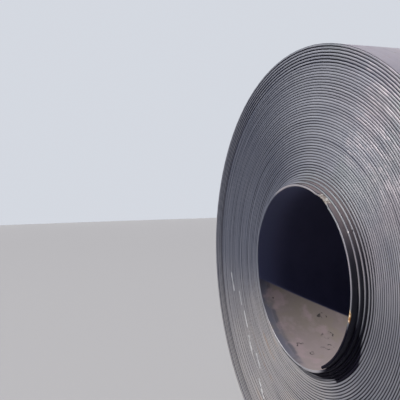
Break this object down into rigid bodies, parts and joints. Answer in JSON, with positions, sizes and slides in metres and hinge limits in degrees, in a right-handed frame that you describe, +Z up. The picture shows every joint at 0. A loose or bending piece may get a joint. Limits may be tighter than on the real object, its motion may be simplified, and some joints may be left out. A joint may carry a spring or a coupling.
{
  "type": "steel coil",
  "caption": "Coil of thick hot-rolled steel strip lying on its tread with its eye level, its inner turns standing out at the front end.",
  "frame": {"origin": "centre of the bounding box at the bottom, where the tread touches the ground", "axes": "Y along the eye, with -Y at the end whose inner turns stand out; +Z up; +X to the right as seen from that end"},
  "size_m": [1.986, 1.564, 1.986],
  "materials": {
    "wound_strip": "hot-rolled mill scale, dull blue-grey"
  },
  "bodies": {
    "root": {"wound_strip": "wound_strip"}
  },
  "joints": []
}
